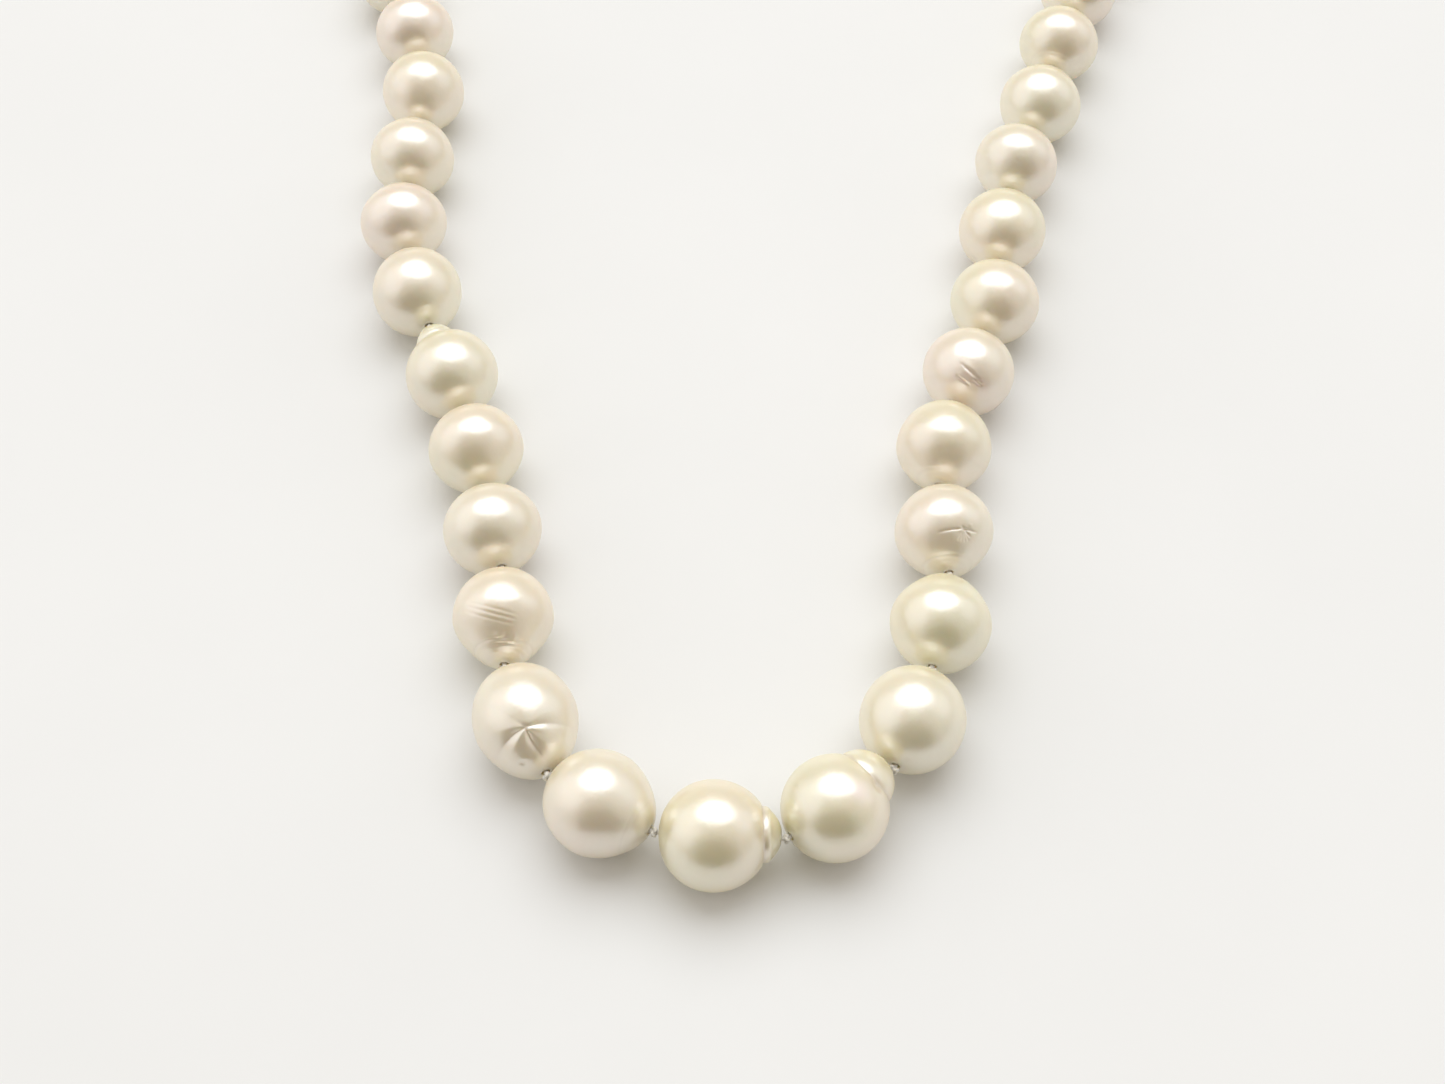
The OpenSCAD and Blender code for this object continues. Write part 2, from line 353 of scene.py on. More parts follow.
def pinholes(skin, centre, seed, count=5):
    rng = np.random.RandomState(seed)
    for _ in range(count):
        right, up = rng.uniform(-0.16, 0.16, 2)
        dent(skin, centre, right, up, rng.uniform(0.010, 0.018), 0.016)


def shape_centre(skin):
    tail(skin, 2.25 * MM, 4.12 * MM, down=0.15 * MM, up=0.15 * MM, groove=0.08 * MM, lip=0.10 * MM)
    skin.tone -= 0.2


def shape_right_01(skin):
    tail(skin, 2.5 * MM, 3.95 * MM, down=-0.1 * MM, up=0.6 * MM, groove=0.07 * MM)
    dent(skin, facing(0.74, 0.46), 0, 0, 0.10, 0.05)
    skin.tone += 0.9 * bell(np.hypot(*skin.around(facing(0.38, 0.40))[:2]), 0.20)
    skin.tone -= 0.9 * bell(np.hypot(*skin.around(facing(0.40, -0.22))[:2]), 0.30)


def shape_left_06(skin):
    tail(skin, 1.7 * MM, 3.75 * MM, down=-0.4 * MM, groove=0.05 * MM)


def shape_left_03(skin):
    taper(skin, -1, 0.075)
    growth_rings(skin, -1, (0.80, 0.86, 0.915, 0.955), 0.014)
    slanted_ridges(skin)


def shape_left_02(skin):
    taper(skin, -1, 0.03)
    star_wrinkles(skin)


def shape_right_03(skin):
    taper(skin, 1, 0.055)
    growth_rings(skin, 1, (0.80, 0.88, 0.93), 0.012)
    crease(skin, facing(0.06, -0.27), 2, -0.1, 0.2, -0.006, 0.012)
    pinholes(skin, facing(-0.55, -0.62), 5)


def shape_right_04(skin):
    taper(skin, -1, 0.045)
    growth_rings(skin, -1, (0.86, 0.93), 0.010)
    ragged_pit(skin)


MARKS = {
    "pearl_centre": shape_centre,
    "pearl_left_02": shape_left_02,
    "pearl_left_03": shape_left_03,
    "pearl_left_06": shape_left_06,
    "pearl_right_01": shape_right_01,
    "pearl_right_03": shape_right_03,
    "pearl_right_04": shape_right_04,
    "pearl_right_06": slanted_wrinkles,
}


def ordinary_marks(skin, seed):
    """What any baroque pearl may have: an egg-shaped end, growth rings, a dimple or pinholes."""
    rng = np.random.RandomState(seed)
    side = rng.choice((-1, 1))
    taper(skin, side, rng.uniform(0.0, 0.05))
    if rng.uniform() < 0.45:
        first = rng.uniform(0.78, 0.88)
        growth_rings(skin, side, (first, first + 0.055), rng.uniform(0.004, 0.010))
    if rng.uniform() < 0.4:
        place = unit(rng.normal(size=3) + UP)
        size = rng.uniform(0.05, 0.12)
        dent(skin, place, 0, 0, size, rng.uniform(0.008, 0.02))
    if rng.uniform() < 0.35:
        pinholes(skin, unit(rng.normal(size=3) + UP), seed + 1, 3)


# Room for a pearl's marks outside its CAD pearl: away from the ends, and at the ends
FLANK_ROOM = 0.5 * MM
END_ROOM = 0.02 * MM
# Where the flank's room starts to shrink, and where the end's room is reached, along the drill axis
ROOM_FROM, ROOM_TO = 0.50, 0.82
# Room gained per square metre of height above the swing plane, in 1/m
ROOM_RISE = 350
ROOM_SOFTNESS = 0.04 * MM
# Points nearer the axis than this belong to the drill hole
BORE_EDGE = BORE_R * 1.3


def make_room(skin):
    """Keep each end close to the CAD pearl where its neighbour comes near when the knots bend. The
    room grows with the height above the swing plane, as two round bodies draw apart there."""
    points = (cad_points(skin.pearl.node) - skin.pearl.centre) @ skin.pearl.turn.T
    points = points[np.hypot(points[:, 1], points[:, 2]) > BORE_EDGE]
    reach = np.linalg.norm(points, axis=1)
    lean = points[:, 0] / reach
    order = np.argsort(lean)
    x = skin.n[:, 0]
    height = skin.world[:, 2] * skin.r
    room = ROOM_RISE * height**2 + np.interp(np.abs(x), (ROOM_FROM, ROOM_TO), (FLANK_ROOM, END_ROOM))
    allowed = np.interp(x, lean[order], reach[order]) + room
    skin.r = skin.r - ROOM_SOFTNESS * np.logaddexp(0, (skin.r - allowed) / ROOM_SOFTNESS)


def make_pearl(pearl, seed):
    skin = Skin(pearl, FINE if pearl.node in MARKS else PLAIN)
    if pearl.node in MARKS:
        MARKS[pearl.node](skin)
    else:
        ordinary_marks(skin, seed)
    baroque(skin, seed, UNEVENNESS)
    make_room(skin)
    outside = skin.n * skin.r[:, None]
    first, last = outside[:skin.segments], outside[-skin.segments:]
    bore = []
    for ring, inward in ((last, 1), (last, 12), (first, -12), (first, -1)):
        round_it = BORE_R / np.linalg.norm(ring[:, 1:], axis=1)
        tube = ring.copy()
        tube[:, 1:] *= round_it[:, None]
        tube[:, 0] += inward * MOUTH_CHAMFER
        bore.append(tube)
    local = np.vstack([outside] + bore)
    lowest = local[:, 2].min()
    local[:, 2] -= np.minimum(lowest + pearl.half_w, 0) * (local[:, 2] < 0) * local[:, 2] / lowest
    rings = skin.rings + len(bore)
    piece = new_object("nacre_" + pearl.node, pearl.centre + local @ pearl.turn,
                       ring_faces(rings, skin.segments, closed_u=True))
    blank = np.zeros(len(bore) * skin.segments)
    set_floats(piece, "overtone", np.append(np.clip(skin.tone, -1, 1), blank))
    # The painted shade of the hollows goes to the material as a colour attribute
    set_floats(piece, "hollow_shade", np.append(np.clip(skin.hollow_shade, 0, 1), blank))
    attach(piece, body_of(pearl.node))
    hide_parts(pearl.node)
    return piece


def body_of(node):
    return "centre_pearl" if node == "pearl_centre" else node


# ---------------------------------------------------------------- silk

PLY_R = 0.15 * MM
THREAD_R = 0.2 * MM
TWIST_L = 0.9 * MM
THREAD_SIDES = 10


def sweep(points, radius, sides, twist_l=None, closed=False):
    """Rings of points along a path. With a twist the section has two lobes, as two-ply silk has."""
    points = np.asarray(points, float)
    if closed:
        tangents = np.roll(points, -1, 0) - np.roll(points, 1, 0)
    else:
        tangents = np.gradient(points, axis=0)
    tangents = tangents / np.linalg.norm(tangents, axis=1)[:, None]
    steps = np.linalg.norm(np.diff(points, axis=0), axis=1)
    run = np.concatenate([[0], np.cumsum(steps)])
    normal = unit(np.cross(tangents[0], UP if abs(tangents[0][2]) < 0.9 else SCREEN_RIGHT))
    around = np.arange(sides) * math.tau / sides
    rows = []
    for point, tangent, l in zip(points, tangents, run):
        normal = unit(normal - (normal @ tangent) * tangent)
        side = np.cross(tangent, normal)
        turn = math.tau * l / twist_l if twist_l else 0
        r = radius * (0.8 + 0.2 * np.abs(np.cos(around))) if twist_l else radius * np.ones(sides)
        ring = np.cos(around + turn)[:, None] * normal + np.sin(around + turn)[:, None] * side
        rows.append(point + ring * r[:, None])
    return np.vstack(rows)


def capped_tube(points, radius, sides, twist_l=None):
    """Vertices and faces of a tube along an open path, with both ends closed."""
    rows = sweep(points, radius, sides, twist_l)
    rings = len(points)
    faces = ring_faces(rings, sides)
    faces.append(tuple(range(sides - 1, -1, -1)))
    faces.append(tuple(range((rings - 1) * sides, rings * sides)))
    return rows, faces


def joined(parts):
    """One vertex list and one face list from several."""
    vertices, faces, count = [], [], 0
    for rows, quads in parts:
        vertices.append(rows)
        faces += [tuple(count + k for k in quad) for quad in quads]
        count += len(rows)
    return np.vstack(vertices), faces


KNOT_POINTS = 54
KNOT_SIDES = 8


def knot_part(at, axis, size, spin):
    """An overhand knot pulled tight around the thread: a trefoil, flat along the thread."""
    t = np.arange(KNOT_POINTS) * math.tau / KNOT_POINTS
    flat = np.stack([np.sin(t) + 2 * np.sin(2 * t), np.cos(t) - 2 * np.cos(2 * t)], -1) / 3
    side = unit(np.cross(UP, axis))
    c, s = math.cos(spin), math.sin(spin)
    across = flat @ np.array([[c, s], [-s, c]])
    path = (at + across[:, :1] * side * (size - PLY_R) + across[:, 1:] * UP * (size - PLY_R)
            - np.sin(3 * t)[:, None] * axis * 0.09 * MM)
    rows = sweep(path, PLY_R, KNOT_SIDES, TWIST_L * 0.6, closed=True)
    return rows, ring_faces(KNOT_POINTS, KNOT_SIDES, True)


def thread_path(start, end, count):
    return [start + (end - start) * k / (count - 1) for k in range(count)]


def make_silk(pearl, knots, seed):
    """The thread inside one pearl, with the knots that ride with it."""
    end = pearl.start + pearl.axis * pearl.length
    parts = [capped_tube(thread_path(pearl.start, end, 40), THREAD_R, THREAD_SIDES, TWIST_L)]
    rng = np.random.RandomState(seed)
    for at, axis in knots:
        parts.append(knot_part(at, axis, rng.uniform(0.40, 0.46) * MM, rng.uniform(0, math.tau)))
        parts.append(knot_part(at, axis, rng.uniform(0.26, 0.30) * MM, rng.uniform(0, math.tau)))
    piece = new_object("silk_" + pearl.node[6:], *joined(parts))
    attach(piece, body_of(pearl.node))
    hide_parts("silk_thread")
    return piece


def knot_place(arm, i):
    """A knot's centre and the thread's direction through it."""
    at = knot_outside(arm, i)
    before = STRAND[f"pearl_{arm}_{i:02d}"].axis if i else STRAND["pearl_centre"].axis
    if i == 0 and arm == "left":
        before = -before
    after = STRAND[f"pearl_{arm}_{i + 1:02d}"].axis if i < COUNT else before
    return at, unit(before + after)


# ---------------------------------------------------------------- end loops

class End:
    """One end of the strand: its own directions and the centre of its loop."""

    def __init__(self, arm):
        self.arm = arm
        self.knot = JOINT_AT[f"loop_{arm}"]
        self.out = STRAND[f"pearl_{arm}_{COUNT:02d}"].axis
        self.side = np.cross(UP, self.out)
        loop = (cad_points(f"gimp_loop_{arm}") - self.knot) @ self.out
        across = (cad_points(f"gimp_loop_{arm}") - self.knot) @ self.side
        height = cad_points(f"gimp_loop_{arm}")[:, 2]
        self.z = (height.min() + height.max()) / 2
        self.gimp_r = (height.max() - height.min()) / 2
        self.loop_r = across.max() - self.gimp_r
        self.loop_x = loop.max() - self.gimp_r - self.loop_r

    def at(self, x, y, z):
        return self.knot * np.array([1, 1, 0]) + self.out * x + self.side * y + UP * z


END = {arm: End(arm) for arm in ARMS}
GIMP_ARC = math.radians(140)
BARE_ARC = math.radians(150)
WIRE_R = 0.085 * MM
COIL_TURNS = 34
COIL_STEPS = 14


def loop_point(end, angle, r=0.0, z=0.0):
    reach = end.loop_r + r
    return end.at(end.loop_x + reach * math.cos(angle), reach * math.sin(angle), end.z + z)


def make_gimp(end):
    """Fine wire wound in a close coil round the thread's loop."""
    steps = COIL_TURNS * COIL_STEPS
    coil_r = end.gimp_r - WIRE_R
    path = []
    for k in range(steps + 1):
        angle = -GIMP_ARC + 2 * GIMP_ARC * k / steps
        wind = math.tau * k / COIL_STEPS
        path.append(loop_point(end, angle, coil_r * math.cos(wind), coil_r * math.sin(wind)))
    piece = new_object(f"gimp_coil_{end.arm}", *capped_tube(path, WIRE_R, 7))
    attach(piece, f"loop_{end.arm}")
    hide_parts(f"gimp_loop_{end.arm}")
    return piece


def make_thread_loop(end):
    """The silk under the coiled wire: out of the last knot, round the loop and back."""
    arc = [loop_point(end, BARE_ARC * (k / 24 - 1)) for k in range(49)]
    root = end.at(0, 0, end.z)
    path = thread_path(root, arc[0], 8)[:-1] + arc + thread_path(arc[-1], root, 8)[1:]
    knot_low = end.at(0, 0, min(end.z, end.knot[2]))
    knot_high = end.at(0, 0, max(end.z, end.knot[2]) + THREAD_R)
    stem = thread_path(knot_low, knot_high, 5)
    parts = [capped_tube(line, THREAD_R, THREAD_SIDES, TWIST_L) for line in (path, stem)]
    piece = new_object(f"silk_loop_{end.arm}", *joined(parts))
    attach(piece, f"loop_{end.arm}")
    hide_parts("silk_thread")
    return piece


# ---------------------------------------------------------------- clasp

SHARP = math.radians(40)
BEAD_R = 0.17 * MM
BEAD_PITCH = 0.40 * MM
BORDER = 0.42 * MM
SCROLL_R = 0.11 * MM
ROPE_R = 0.14 * MM
ROPE_STEP = 0.16 * MM
ROPE_TWIST_L = 0.8 * MM
CORNER_R = 1.6 * MM
NOTCH_HALF = 1.0 * MM
NOTCH_L = 2.4 * MM
# How deep the ornament is let into the face that it stands on
SUNK = 0.02 * MM
# The flower's rings of petals: count, share of a step turned, distance out and half-lengths in millimetres
PETALS = ((8, 0.0, 1.15, (0.62, 0.30, 0.22)), (8, 0.5, 0.62, (0.36, 0.19, 0.30)))
FLOWER_BACK = 0.7 * MM
HEART_R = 0.36 * MM
HEART_H = 0.42 * MM
# The scrolls: where they are centred, how far out they start and how much nearer they end
# (in millimetres), and the angles that they start at and turn through (in degrees)
SCROLL_X = 2.65 * MM
SCROLL_Y = 1.55 * MM
SCROLL_SQUEEZE = 0.98
SCROLL_REACH = 1.05
SCROLL_SHRINK = 0.85
SCROLL_FROM = -40
SCROLL_TURN = 470
SCROLL_STEPS = 40
SCROLL_END_R = 0.2 * MM
SCROLL_LIFT = 0.01 * MM
BEAD_SUNK = 0.01 * MM
FOOT_ROPE = ROPE_R * 1.3
LID_ROPE = ROPE_R * 1.6
# The ropes stop this far short of the open end of the box
ROPE_SHORT = 0.3 * MM
CORNER_STEPS = 8
# The grip ridges, in millimetres: depth of the first below the tab's top, their pitch and half their length
GRIP_FROM = 0.35
GRIP_STEP = 0.32
GRIP_HALF = 0.6
GRIP_R = 0.08 * MM
GRIP_RIDGES = 3
GRIP_PROUD = 0.01 * MM
TAB_LEAN = math.radians(9)
# How far the edges of each CAD node are rounded over
EDGE_R = {"clasp_box": 0.09 * MM, "clasp_lid": 0.10 * MM, "clasp_tongue": 0.07 * MM,
          "tongue_spring_leaf": 0.05 * MM}
WELD = 1e-7
FLAT = math.radians(0.5)


def softened(name):
    """The vertices and faces of a CAD node, with its edges rounded over."""
    soft = bmesh.new()
    soft.from_mesh(NODES[name].data)
    bmesh.ops.remove_doubles(soft, verts=soft.verts, dist=WELD)
    bmesh.ops.dissolve_limit(soft, angle_limit=FLAT, verts=soft.verts, edges=soft.edges)
    edges = [e for e in soft.edges if len(e.link_faces) == 2 and e.calc_face_angle() > SHARP]
    bmesh.ops.bevel(soft, geom=edges, offset=EDGE_R[name], segments=3, profile=0.5, affect="EDGES",
                    clamp_overlap=True)
    soft.verts.index_update()
    rows = np.array([v.co[:] for v in soft.verts])
    faces = [tuple(v.index for v in f.verts) for f in soft.faces]
    soft.free()
    return rows, faces


def dome(centre, axes, sides=10, rows=5):
    """Half an ellipsoid on a flat base; axes are its three half-lengths as vectors."""
    points = []
    for i in range(rows):
        lift = math.pi / 2 * i / rows
        for k in range(sides):
            turn = math.tau * k / sides
            points.append(centre + math.cos(lift) * (math.cos(turn) * axes[0] + math.sin(turn) * axes[1])
                          + math.sin(lift) * axes[2])
    points.append(centre + axes[2])
    faces = ring_faces(rows, sides)
    top = (rows - 1) * sides
    faces += [(top + k, top + (k + 1) % sides, len(points) - 1) for k in range(sides)]
    faces.append(tuple(range(sides - 1, -1, -1)))
    return np.array(points), faces


class Block:
    """A CAD node's box in the directions of one end of the strand."""

    def __init__(self, end, name):
        points = cad_points(name)
        along = (points - end.knot) @ end.out
        across = (points - end.knot) @ end.side
        self.x = (along.min(), along.max())
        self.half_w = across.max()
        self.z = (points[:, 2].min(), points[:, 2].max())

    def border(self, inset, corner, pitch):
        """Points a step apart round the box, inset from its sides, with round corners."""
        x0, x1 = self.x[0] + inset, self.x[1] - inset
        half = self.half_w - inset
        r = corner - inset
        loop = []
        corners = ((x1 - r, half - r), (x0 + r, half - r), (x0 + r, r - half), (x1 - r, r - half))
        for (cx, cy), turn in zip(corners, (0, 90, 180, 270)):
            for k in range(CORNER_STEPS + 1):
                a = math.radians(turn + 90 * k / CORNER_STEPS)
                loop.append((cx + r * math.cos(a), cy + r * math.sin(a)))
        loop = np.array(loop + loop[:1])
        run = np.concatenate([[0], np.cumsum(np.hypot(*np.diff(loop, axis=0).T))])
        count = round(run[-1] / pitch)
        at = np.arange(count) * run[-1] / count
        return np.stack([np.interp(at, run, loop[:, 0]), np.interp(at, run, loop[:, 1])], -1)


def silver_piece(name, parts, body, node_name):
    piece = new_object(name, *joined(parts))
    piece.data.set_sharp_from_angle(angle=SHARP)
    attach(piece, body)
    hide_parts(node_name)
    return piece


def make_box(end):
    """The box half, with a rope moulding round its foot and under its lid."""
    lid = Block(end, "clasp_lid")
    parts = [softened("clasp_box")]
    for height in (FOOT_ROPE, lid.z[0] - LID_ROPE):
        edge = lid.border(0.0, CORNER_R, ROPE_STEP)
        path = [end.at(x, y, height) for x, y in edge if x < lid.x[1] - ROPE_SHORT]
        first = max(range(len(path)), key=lambda k: np.linalg.norm(path[k] - path[k - 1]))
        path = path[first:] + path[:first]
        parts.append(capped_tube(path, ROPE_R, 8, ROPE_TWIST_L))
    return silver_piece("clasp_box_case", parts, "clasp_box_half", "clasp_box")


def make_lid(end):
    """The lid: a beaded border that stops at the tab's slot, and a flower with four scrolls."""
    lid = Block(end, "clasp_lid")
    top = lid.z[1] - SUNK
    parts = [softened("clasp_lid")]
    for x, y in lid.border(BORDER, CORNER_R, BEAD_PITCH):
        if x < lid.x[1] - NOTCH_L or abs(y) > NOTCH_HALF + BEAD_R:
            parts.append(dome(end.at(x, y, top), (end.out * BEAD_R, end.side * BEAD_R, UP * BEAD_R)))
    middle_x = (lid.x[0] + lid.x[1]) / 2 - FLOWER_BACK
    for count, share, out, (long, wide, high) in PETALS:
        for k in range(count):
            turn = math.tau * (k + share) / count
            c, d = math.cos(turn), math.sin(turn)
            along = end.out * c + end.side * d
            across = end.side * c - end.out * d
            at = end.at(middle_x + out * MM * c, out * MM * d, top)
            parts.append(dome(at, (along * long * MM, across * wide * MM, UP * high * MM), 14))
    heart = (end.out * HEART_R, end.side * HEART_R, UP * HEART_H)
    parts.append(dome(end.at(middle_x, 0, top), heart, 16))
    for sx in (-1, 1):
        for sy in (-1, 1):
            path = []
            for k in range(SCROLL_STEPS + 1):
                t = k / SCROLL_STEPS
                spin = math.radians(SCROLL_FROM + SCROLL_TURN * t)
                reach = (SCROLL_REACH - SCROLL_SHRINK * t) * MM
                x = middle_x + sx * (SCROLL_X + reach * math.cos(spin)) * SCROLL_SQUEEZE
                y = sy * (SCROLL_Y + reach * math.sin(spin))
                path.append(end.at(x, y, top + SCROLL_LIFT))
            parts.append(capped_tube(path, SCROLL_R, 8))
            parts.append(dome(path[-1], (end.out * SCROLL_END_R, end.side * SCROLL_END_R, UP * SCROLL_END_R)))
    return silver_piece("clasp_lid_top", parts, "clasp_box_half", "clasp_lid")


def make_tongue(end):
    """The tongue half: a plate with a beaded edge, and the blade with its rolled fold."""
    tongue = Block(end, "clasp_tongue")
    plate_x = Block(END["left"], "clasp_lid").x[0]
    parts = [softened("clasp_tongue")]
    for side in (-1, 1):
        count = int((tongue.z[1] - 2 * BORDER) / BEAD_PITCH)
        for k in range(count + 1):
            height = BORDER + (tongue.z[1] - 2 * BORDER) * k / count
            at = end.at(plate_x + BEAD_SUNK, side * (tongue.half_w - BORDER), height)
            parts.append(dome(at, (UP * BEAD_R, end.side * BEAD_R, -end.out * BEAD_R)))
    return silver_piece("clasp_tongue_plate", parts, "clasp_tongue_half", "clasp_tongue")


def make_leaf(end):
    """The spring leaf, with three grip ridges across its thumb tab."""
    points = cad_points("tongue_spring_leaf")
    along = (points - end.knot) @ end.out
    across = (points - end.knot) @ end.side
    parts = [softened("tongue_spring_leaf")]
    tab = points[np.abs(across) < np.abs(across).max() * 0.5]
    height = tab[:, 2].max()
    face = along[points[:, 2] > height - 0.02 * MM]
    for k in range(GRIP_RIDGES):
        drop = (GRIP_FROM + GRIP_STEP * k) * MM
        x = face.min() + drop * math.sin(TAB_LEAN) + GRIP_PROUD
        path = [end.at(x, y * MM, height - drop) for y in np.linspace(-GRIP_HALF, GRIP_HALF, 7)]
        parts.append(capped_tube(path, GRIP_R, 8))
    return silver_piece("clasp_leaf_spring", parts, "spring_leaf", "tongue_spring_leaf")


# ---------------------------------------------------------------- materials

def new_material(name):
    material = bpy.data.materials.new(name)
    material.use_nodes = True
    nodes = material.node_tree.nodes
    return material, nodes, material.node_tree.links, nodes["Principled BSDF"]


def node(nodes, kind, **values):
    made = nodes.new(kind)
    for key, value in values.items():
        if key in made.inputs:
            made.inputs[key].default_value = value
        else:
            setattr(made, key, value)
    return made


def noise(nodes, links, scale, detail=2.0, roughness=0.5):
    where = nodes.new("ShaderNodeTexCoord")
    made = node(nodes, "ShaderNodeTexNoise", Scale=scale, Detail=detail, Roughness=roughness)
    links.new(where.outputs["Object"], made.inputs["Vector"])
    return made.outputs["Fac"]


def ramp(nodes, links, source, stops):
    made = nodes.new("ShaderNodeValToRGB")
    elements = made.color_ramp.elements
    while len(elements) < len(stops):
        elements.new(0.5)
    for element, (place, colour) in zip(elements, stops):
        element.position = place
        element.color = (*colour, 1)
    links.new(source, made.inputs["Fac"])
    return made.outputs["Color"]


def mix(nodes, links, factor, a, b, blend="MIX"):
    made = nodes.new("ShaderNodeMix")
    made.data_type = "RGBA"
    made.blend_type = blend
    for socket, value in ((made.inputs[0], factor), (made.inputs[6], a), (made.inputs[7], b)):
        if isinstance(value, bpy.types.NodeSocket):
            links.new(value, socket)
        elif isinstance(value, tuple):
            socket.default_value = (*value, 1)
        else:
            socket.default_value = value
    return made.outputs[2]


def bump(nodes, links, height, strength, distance, before=None):
    made = node(nodes, "ShaderNodeBump", Strength=strength, Distance=distance)
    links.new(height, made.inputs["Height"])
    if before:
        links.new(before, made.inputs["Normal"])
    return made.outputs["Normal"]


NACRE = {
    # slot: (body, overtone at one end, overtone at the other)
    "nacre_cream": ((0.86, 0.76, 0.53), (0.86, 0.80, 0.58), (0.90, 0.76, 0.60)),
    "nacre_rose": ((0.87, 0.755, 0.56), (0.87, 0.79, 0.59), (0.92, 0.74, 0.63)),
    "nacre_green": ((0.86, 0.765, 0.505), (0.84, 0.80, 0.55), (0.92, 0.75, 0.61)),
}
# The colour that the painted shade in hollows, grooves and folds darkens towards
HOLLOW_SHADE_COLOUR = (0.58, 0.46, 0.33)
CLOUD = ((0.3, (0.94, 0.95, 0.93)), (0.7, (1, 1, 1)))
FLOOR_TONES = ((0.3, (0.83, 0.83, 0.82)), (0.7, (0.85, 0.85, 0.84)))


def nacre(name, body, cool, warm):
    material, nodes, links, shader = new_material(name)
    tone = node(nodes, "ShaderNodeAttribute", attribute_name="overtone").outputs["Fac"]
    hollow_shade = node(nodes, "ShaderNodeAttribute", attribute_name="hollow_shade").outputs["Fac"]
    shift = node(nodes, "ShaderNodeMapRange")
    shift.inputs["From Min"].default_value = -1
    links.new(tone, shift.inputs["Value"])
    swing = ramp(nodes, links, shift.outputs["Result"], ((0.0, cool), (0.5, body), (1.0, warm)))
    cloud = ramp(nodes, links, noise(nodes, links, 420, 3, 0.55), CLOUD)
    colour = mix(nodes, links, 1.0, swing, cloud, "MULTIPLY")
    # Painted shade: the colour is darker in hollows, grooves and folds
    colour = mix(nodes, links, hollow_shade, colour, HOLLOW_SHADE_COLOUR)
    links.new(colour, shader.inputs["Base Color"])
    shader.inputs["Roughness"].default_value = 0.30
    swell = bump(nodes, links, noise(nodes, links, 750, 3, 0.5), 0.55, 0.06 * MM)
    grain = bump(nodes, links, noise(nodes, links, 5200, 2, 0.5), 0.25, 0.006 * MM, swell)
    links.new(grain, shader.inputs["Normal"])
    shader.inputs["IOR"].default_value = 2.85
    shader.inputs["Specular IOR Level"].default_value = 0.9
    shader.inputs["Subsurface Weight"].default_value = 0.5
    shader.inputs["Subsurface Radius"].default_value = (1.0, 0.75, 0.4)
    shader.inputs["Subsurface Scale"].default_value = 0.0018
    shader.inputs["Coat Weight"].default_value = 0.3
    shader.inputs["Coat Roughness"].default_value = 0.12
    return material


def silk():
    material, nodes, links, shader = new_material("silk")
    fibre = noise(nodes, links, 9000, 3, 0.6)
    links.new(ramp(nodes, links, fibre, ((0.3, (0.88, 0.81, 0.68)), (0.7, (0.98, 0.93, 0.84)))),
              shader.inputs["Base Color"])
    links.new(bump(nodes, links, fibre, 0.5, 0.03 * MM), shader.inputs["Normal"])
    shader.inputs["Roughness"].default_value = 0.55
    shader.inputs["Sheen Weight"].default_value = 0.4
    shader.inputs["Sheen Roughness"].default_value = 0.4
    shader.inputs["Subsurface Weight"].default_value = 0.4
    shader.inputs["Subsurface Radius"].default_value = (1.0, 0.9, 0.75)
    shader.inputs["Subsurface Scale"].default_value = 0.0003
    return material


def metal(name, light, dark, roughness):
    material, nodes, links, shader = new_material(name)
    haze = noise(nodes, links, 600, 4, 0.6)
    links.new(ramp(nodes, links, haze, ((0.3, dark), (0.65, light))), shader.inputs["Base Color"])
    rub = node(nodes, "ShaderNodeMapRange")
    rub.inputs["To Min"].default_value = roughness
    rub.inputs["To Max"].default_value = roughness * 1.8
    links.new(noise(nodes, links, 2500, 3), rub.inputs["Value"])
    links.new(rub.outputs["Result"], shader.inputs["Roughness"])
    links.new(bump(nodes, links, noise(nodes, links, 7000, 2), 0.15, 0.008 * MM), shader.inputs["Normal"])
    shader.inputs["Metallic"].default_value = 1.0
    return material


MATERIALS = {slot: nacre(slot, *values) for slot, values in NACRE.items()}
MATERIALS["silk"] = silk()
MATERIALS["gimp"] = metal("gimp", (0.80, 0.79, 0.77), (0.66, 0.64, 0.61), 0.22)
MATERIALS["silver"] = metal("silver", (0.88, 0.87, 0.85), (0.74, 0.73, 0.70), 0.12)


def dress(piece, slot):
    piece.data.materials.clear()
    piece.data.materials.append(MATERIALS[slot])


# ---------------------------------------------------------------- build

for number, pearl in enumerate(STRAND.values()):
    dress(make_pearl(pearl, FIRST_PEARL_SEED + PEARL_SEED_STEP * number), SLOT_OF[pearl.node])
    if pearl.node == "pearl_centre":
        knots = [knot_place("left", 0), knot_place("right", 0)]
    else:
        arm, i = pearl.node.split("_")[1:]
        knots = [knot_place(arm, int(i))]
    dress(make_silk(pearl, knots, FIRST_SILK_SEED + number), "silk")
for end in END.values():
    dress(make_gimp(end), "gimp")
    dress(make_thread_loop(end), "silk")
for make, arm in ((make_box, "left"), (make_lid, "left"), (make_tongue, "right"), (make_leaf, "right")):
    dress(make(END[arm]), "silver")


# ---------------------------------------------------------------- stage and light

FLOOR_HALF = 1.2

floor = new_object("floor", [(-FLOOR_HALF, -FLOOR_HALF, 0), (FLOOR_HALF, -FLOOR_HALF, 0),
                             (FLOOR_HALF, FLOOR_HALF, 0), (-FLOOR_HALF, FLOOR_HALF, 0)], [(0, 1, 2, 3)])
floor_material, nodes, links, shader = new_material("floor")
links.new(ramp(nodes, links, noise(nodes, links, 30, 4), FLOOR_TONES), shader.inputs["Base Color"])
shader.inputs["Roughness"].default_value = 0.6
floor.data.materials.append(floor_material)

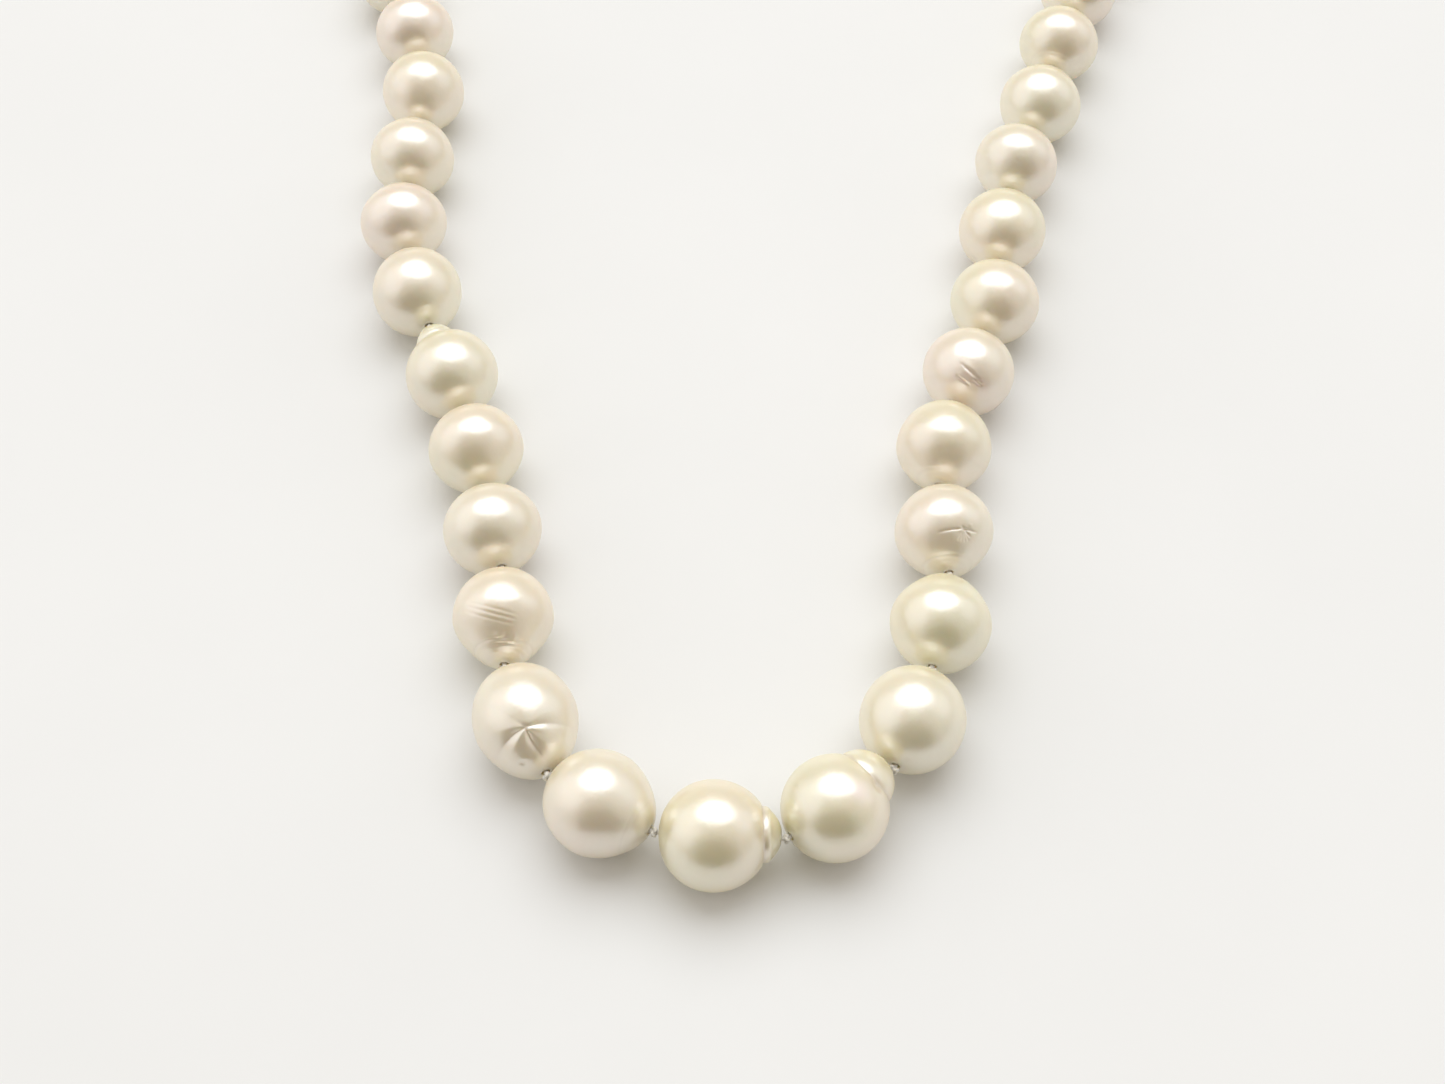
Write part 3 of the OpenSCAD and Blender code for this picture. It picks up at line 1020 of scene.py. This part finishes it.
world = bpy.data.worlds.new("studio")
world.use_nodes = True
bpy.context.scene.world = world
nodes, links = world.node_tree.nodes, world.node_tree.links
backdrop = nodes["Background"]
where = nodes.new("ShaderNodeTexCoord")


def toward(direction, inner, outer):
    """1 near a direction and 0 away from it; inner and outer are angles in degrees."""
    dot = nodes.new("ShaderNodeVectorMath")
    dot.operation = "DOT_PRODUCT"
    dot.inputs[1].default_value = unit(np.array(direction, float))
    links.new(where.outputs["Generated"], dot.inputs[0])
    made = nodes.new("ShaderNodeMapRange")
    made.interpolation_type = "SMOOTHSTEP"
    made.inputs["From Min"].default_value = math.cos(math.radians(outer))
    made.inputs["From Max"].default_value = math.cos(math.radians(inner))
    links.new(dot.outputs["Value"], made.inputs["Value"])
    return made.outputs["Result"]


# A warm room, with a bright patch on each side and a dark one towards the viewer
ROOM = (0.64, 0.595, 0.53)
LEFT_PATCH = (1.15, 1.12, 1.1)
RIGHT_PATCH = (1.0, 0.99, 0.98)
DARK_PATCH = (0.09, 0.078, 0.055)
room = mix(nodes, links, toward((-0.80, 0.10, 0.5), 16, 44), ROOM, LEFT_PATCH)
room = mix(nodes, links, toward((0.81, 0.25, 0.52), 8, 32), room, RIGHT_PATCH)
room = mix(nodes, links, toward((0, -1, 0.36), 21, 56), room, DARK_PATCH)
links.new(room, backdrop.inputs["Color"])
backdrop.inputs["Strength"].default_value = 1.0

window_data = bpy.data.lights.new("window", "AREA")
window_data.shape = "ELLIPSE"
window_data.size = 1.35
window_data.size_y = 1.0
window_data.energy = 6.4
window_data.color = (0.93, 0.975, 1.03)
window = bpy.data.objects.new("window", window_data)
WINDOW_WAY = Vector((0.02, 0.40, 0.92)).normalized()
WINDOW_FAR = 1.0
STRAND_MIDDLE = Vector((0, 0.05, 0))
window.location = STRAND_MIDDLE + WINDOW_WAY * WINDOW_FAR
window.rotation_euler = WINDOW_WAY.to_track_quat("Z", "Y").to_euler()
bpy.context.scene.collection.objects.link(window)

bpy.context.scene.view_settings.view_transform = "Standard"
